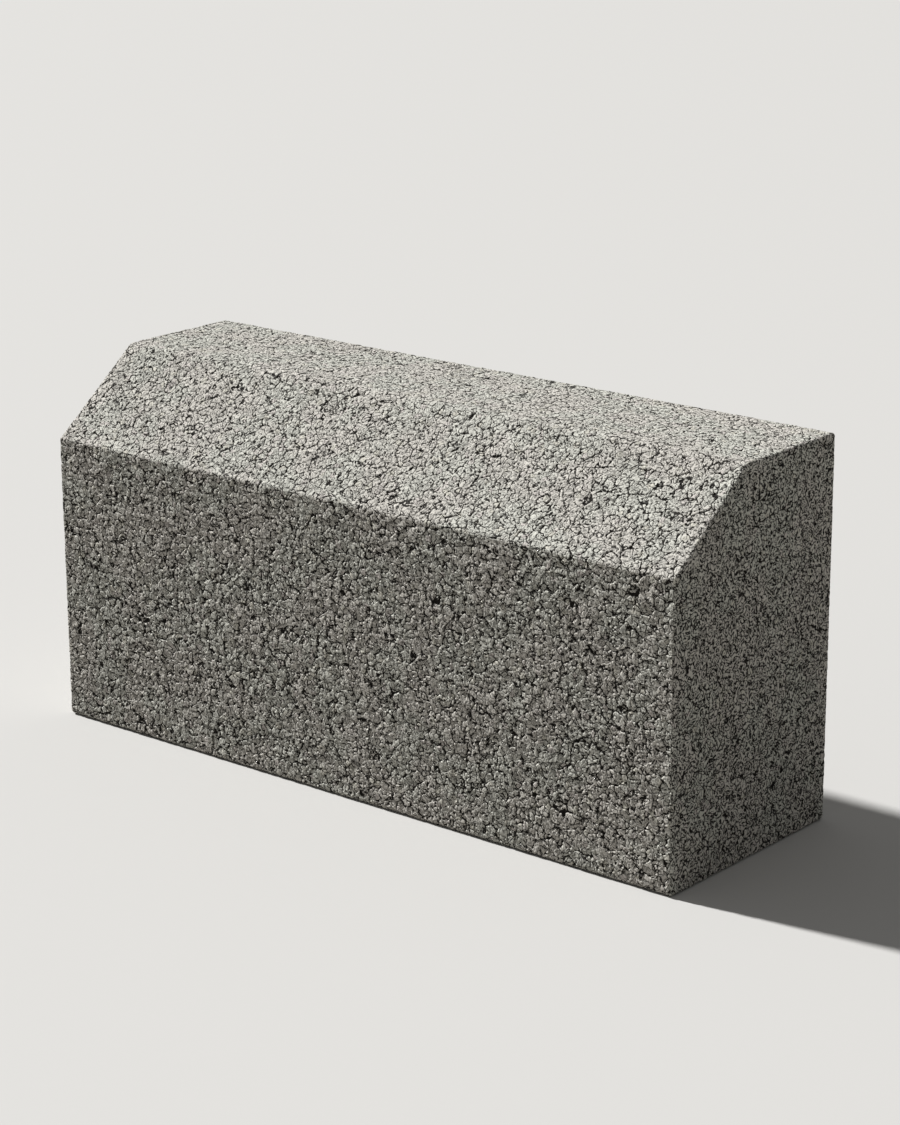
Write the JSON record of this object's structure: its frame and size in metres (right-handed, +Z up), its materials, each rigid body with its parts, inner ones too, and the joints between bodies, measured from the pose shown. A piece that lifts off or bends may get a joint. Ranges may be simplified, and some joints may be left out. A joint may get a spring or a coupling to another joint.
{
  "type": "concrete kerb stone",
  "caption": "Straight precast concrete kerb stone with a splayed upper face, a narrow flat top and an open, coarse-grained surface.",
  "frame": {"origin": "middle of the bed, on the level surface that the kerb stands on", "axes": "+X along the kerb, -Y out of the upright road face, +Y out of the back, +Z up"},
  "size_m": [0.5, 0.16, 0.245],
  "materials": {
    "concrete": "coarse"
  },
  "bodies": {
    "root": {"kerb_stone": "concrete"}
  },
  "joints": []
}
